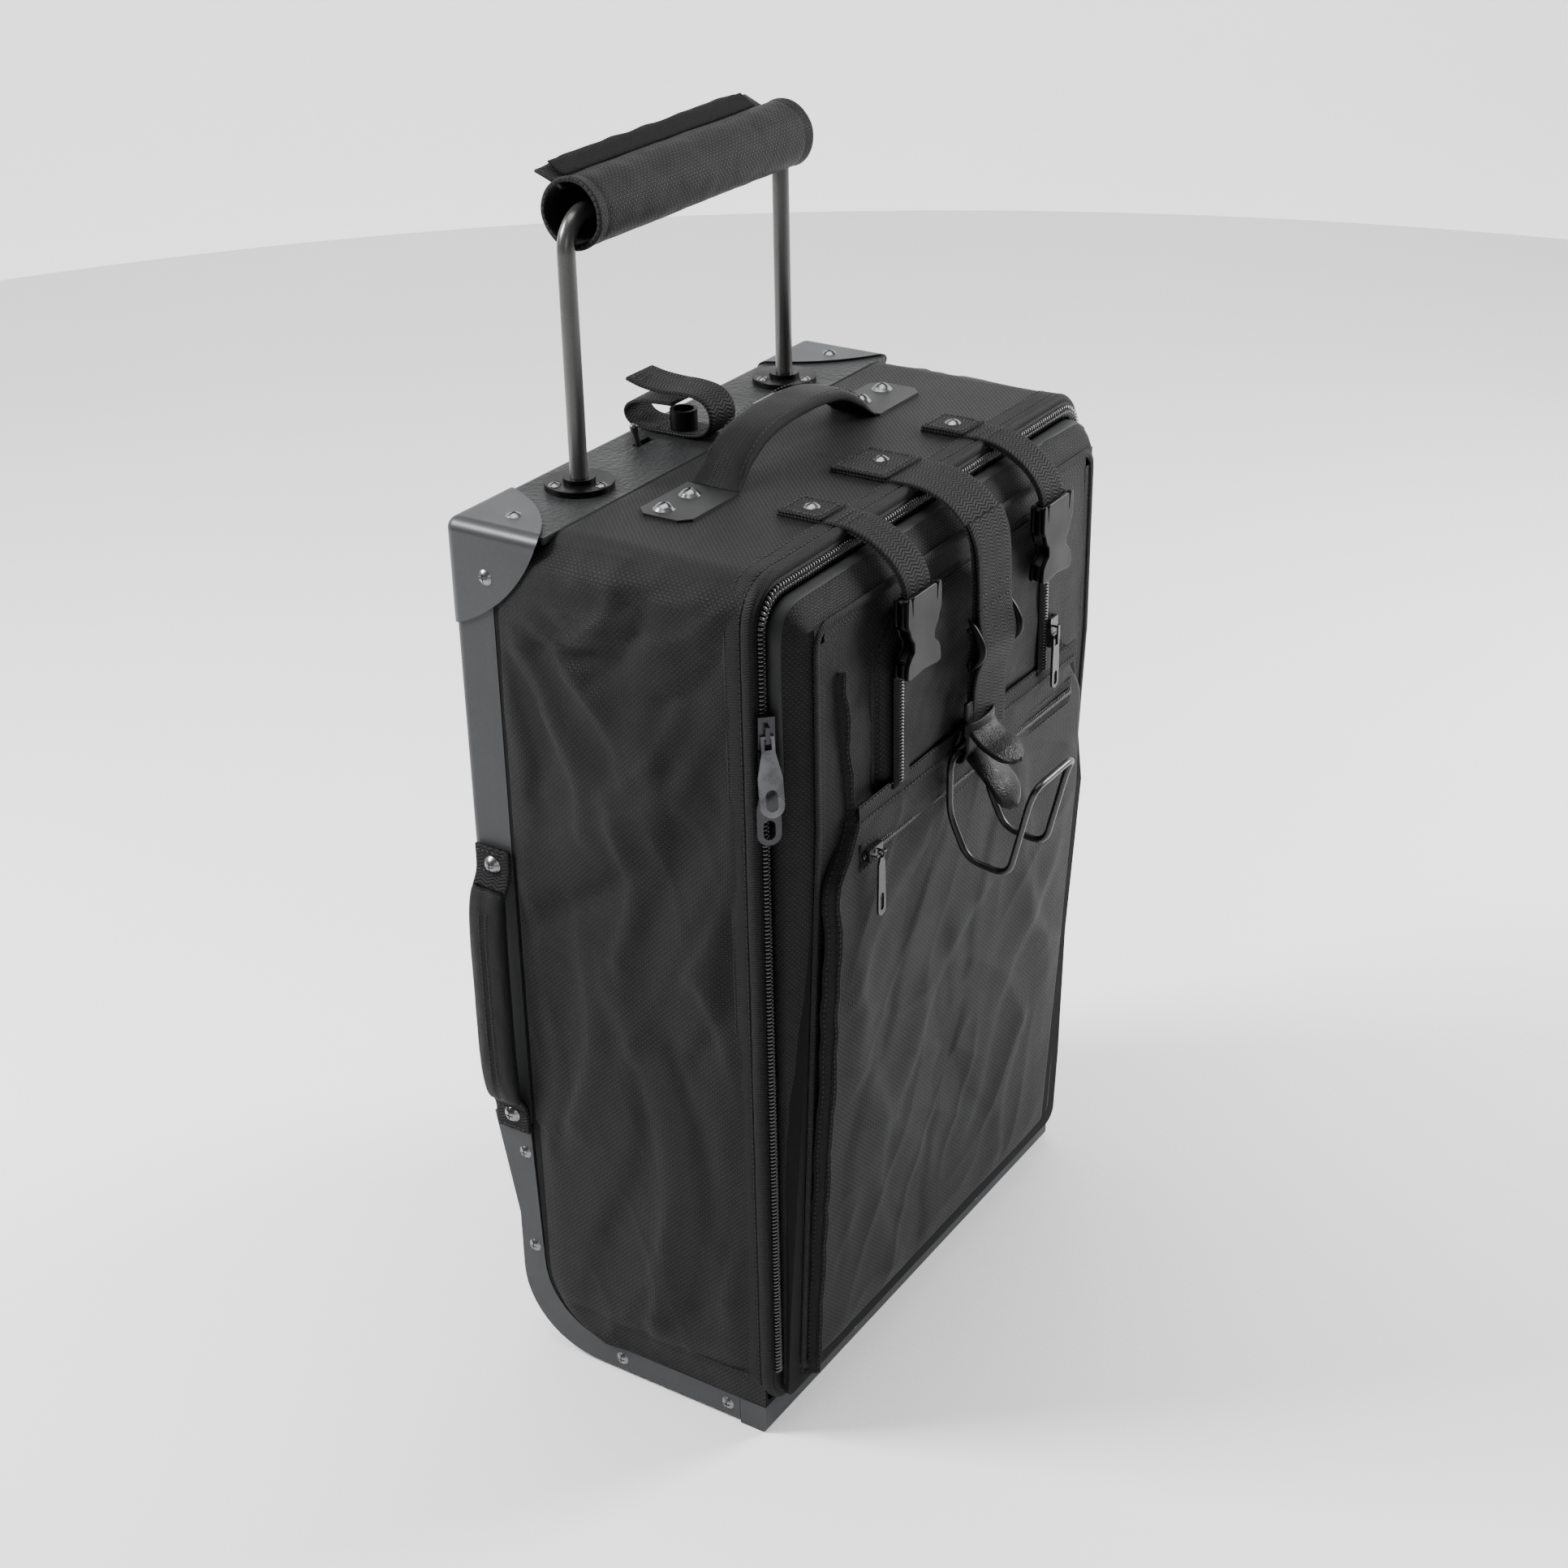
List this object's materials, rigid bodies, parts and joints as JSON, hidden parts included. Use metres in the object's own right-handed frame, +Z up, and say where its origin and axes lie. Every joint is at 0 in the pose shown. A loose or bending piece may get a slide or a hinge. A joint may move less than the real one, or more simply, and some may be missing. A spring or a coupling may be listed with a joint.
{
  "type": "rolling flight case",
  "caption": "Upright fabric flight case on a metal edge frame, with pull-out bail handle, wheels, opening front lid with pockets, and lid straps.",
  "frame": {"origin": "under the middle of the front foot, on the floor", "axes": "+X across the width, to the right seen from the front; +Y from the front (pockets) to the back (rods and wheels); +Z up"},
  "size_m": [0.3765, 0.2846, 0.712],
  "materials": {
    "channel_coat": "black hammered texture paint",
    "rail_coat": "dark slate grey fine powder coat",
    "guard_coat": "dark slate grey smooth satin paint",
    "panel_plastic": "black moulded plastic",
    "dark_screws": "dark nickel plated",
    "tyre_rubber": "black rubber",
    "hub_plastic": "dark grey moulded plastic",
    "bearing_steel": "bright steel",
    "rod_black": "satin black steel",
    "tube_metal": "plain tube",
    "grip_nylon": "padded ballistic nylon",
    "black_plastic": "satin black moulded plastic",
    "plate_coat": "satin black",
    "plate_label": "blank grey anodised plate",
    "webbing": "ribbed nylon webbing",
    "body_nylon": "ballistic nylon basket weave",
    "binding_tape": "ribbed binding tape",
    "zip_black": "coil zip on woven tape",
    "zip_metal": "black nickel plated",
    "pull_bright": "worn nickel plated",
    "leather_black": "black stitched leather"
  },
  "bodies": {
    "case": {"top_channel": "channel_coat", "left_side_rail": "rail_coat", "right_side_rail": "rail_coat", "left_base_plate": "rail_coat", "right_base_plate": "rail_coat", "front_foot": "rail_coat", "base_panel": "panel_plastic", "back_panel": "panel_plastic", "left_corner_guard": "guard_coat", "right_corner_guard": "guard_coat", "frame_screws": "dark_screws", "left_wheel_housing": "panel_plastic", "right_wheel_housing": "panel_plastic", "wheel_axles": "bearing_steel", "outer_tubes": "tube_metal", "tube_foot": "panel_plastic", "rod_flanges": "black_plastic", "flange_screws": "dark_screws", "lever_bracket": "bearing_steel", "loop_strap": "webbing", "loop_stud": "black_plastic", "blank_plate": "plate_label", "handle_plates": "plate_coat", "top_handle": "grip_nylon", "side_handle": "grip_nylon", "cup_screws": "dark_screws", "body_shell": "body_nylon", "front_binding": "binding_tape", "inner_panel": "panel_plastic", "main_zip": "zip_black", "buckle_straps": "webbing", "buckles": "black_plastic", "middle_strap": "webbing", "strap_glide": "black_plastic", "hook_leather": "leather_black"},
    "handle": {"handle_bail": "rod_black", "grip_sleeve": "grip_nylon", "rod_bushes": "panel_plastic"},
    "lever": {"release_lever": "rod_black"},
    "latch": {"latch_bar": "bearing_steel"},
    "left_wheel": {"left_tyre": "tyre_rubber", "left_hub": "hub_plastic", "left_bearings": "bearing_steel"},
    "right_wheel": {"right_tyre": "tyre_rubber", "right_hub": "hub_plastic", "right_bearings": "bearing_steel"},
    "top_zip_slider": {"upper_slider": "zip_metal"},
    "top_zip_pull": {"upper_pull": "pull_bright"},
    "bottom_zip_slider": {"lower_slider": "zip_metal"},
    "bottom_zip_pull": {"lower_pull": "zip_metal"},
    "lid": {"lid_shell": "body_nylon", "lower_pocket": "body_nylon", "upper_pocket": "body_nylon", "pocket_zips": "zip_black"},
    "pocket_zip_slider": {"pocket_slider": "zip_metal"},
    "pocket_zip_pull": {"pocket_pull": "zip_metal"},
    "side_slider": {"side_zip_slider": "zip_metal"},
    "side_pull": {"side_zip_pull": "zip_metal"},
    "hook": {"j_hook": "rod_black"}
  },
  "joints": [
    {"name": "handle_slide", "type": "slide", "parent": "case", "child": "handle", "axis": [0, 0, 1], "range_m": [-0.098, 0.285]},
    {"name": "lever_tilt", "type": "hinge", "parent": "case", "child": "lever", "pos_m": [-0.028, 0.158, 0.524], "axis": [0, 1, 0], "range_deg": [0, 36], "stiffness_Nm_per_rad": 0.05, "springref_deg": -11.46},
    {"name": "latch_slide", "type": "slide", "parent": "case", "child": "latch", "axis": [-1, 0, 0], "range_m": [0, 0.005]},
    {"name": "left_wheel_spin", "type": "hinge", "parent": "case", "child": "left_wheel", "pos_m": [-0.145, 0.147, 0.03], "axis": [1, 0, 0], "continuous": true},
    {"name": "right_wheel_spin", "type": "hinge", "parent": "case", "child": "right_wheel", "pos_m": [0.145, 0.147, 0.03], "axis": [1, 0, 0], "continuous": true},
    {"name": "top_zip_slide", "type": "slide", "parent": "case", "child": "top_zip_slider", "axis": [0, 0, 1], "range_m": [0, 0.03]},
    {"name": "top_pull_swing", "type": "hinge", "parent": "top_zip_slider", "child": "top_zip_pull", "pos_m": [-0.17624, -0.01994, 0.4601], "axis": [-0.7071, 0.7071, 0], "range_deg": [0, 105]},
    {"name": "bottom_zip_slide", "type": "slide", "parent": "case", "child": "bottom_zip_slider", "axis": [0, 0, -1], "range_m": [0, 0.36]},
    {"name": "bottom_pull_swing", "type": "hinge", "parent": "bottom_zip_slider", "child": "bottom_zip_pull", "pos_m": [-0.17624, -0.01994, 0.4401], "axis": [-0.7071, 0.7071, 0], "range_deg": [0, 24]},
    {"name": "lid_open", "type": "hinge", "parent": "case", "child": "lid", "pos_m": [0, -0.0152, 0.022], "axis": [1, 0, 0], "range_deg": [0, 80], "deforming": ["buckle_straps", "buckles", "middle_strap", "strap_glide", "hook_leather", "j_hook"]},
    {"name": "pocket_zip_slide", "type": "slide", "parent": "lid", "child": "pocket_zip_slider", "axis": [1, 0, 0], "range_m": [0, 0.225]},
    {"name": "pocket_pull_swing", "type": "hinge", "parent": "pocket_zip_slider", "child": "pocket_zip_pull", "pos_m": [-0.112, -0.04895, 0.371], "axis": [-1, 0, 0], "range_deg": [0, 100]},
    {"name": "side_zip_slide", "type": "slide", "parent": "lid", "child": "side_slider", "axis": [0, 0, 1], "range_m": [0, 0.03]},
    {"name": "side_pull_swing", "type": "hinge", "parent": "side_slider", "child": "side_pull", "pos_m": [0.088, -0.0488, 0.4221], "axis": [-1, 0, 0], "range_deg": [0, 110]},
    {"name": "hook_swing", "type": "hinge", "parent": "case", "child": "hook", "pos_m": [-0.012, -0.047, 0.393], "axis": [-1, 0, 0], "range_deg": [0, 80]}
  ],
  "couplings": [
    {"joint": "lever_tilt", "follows": "latch_slide", "rad_per_m": 125.66}
  ]
}
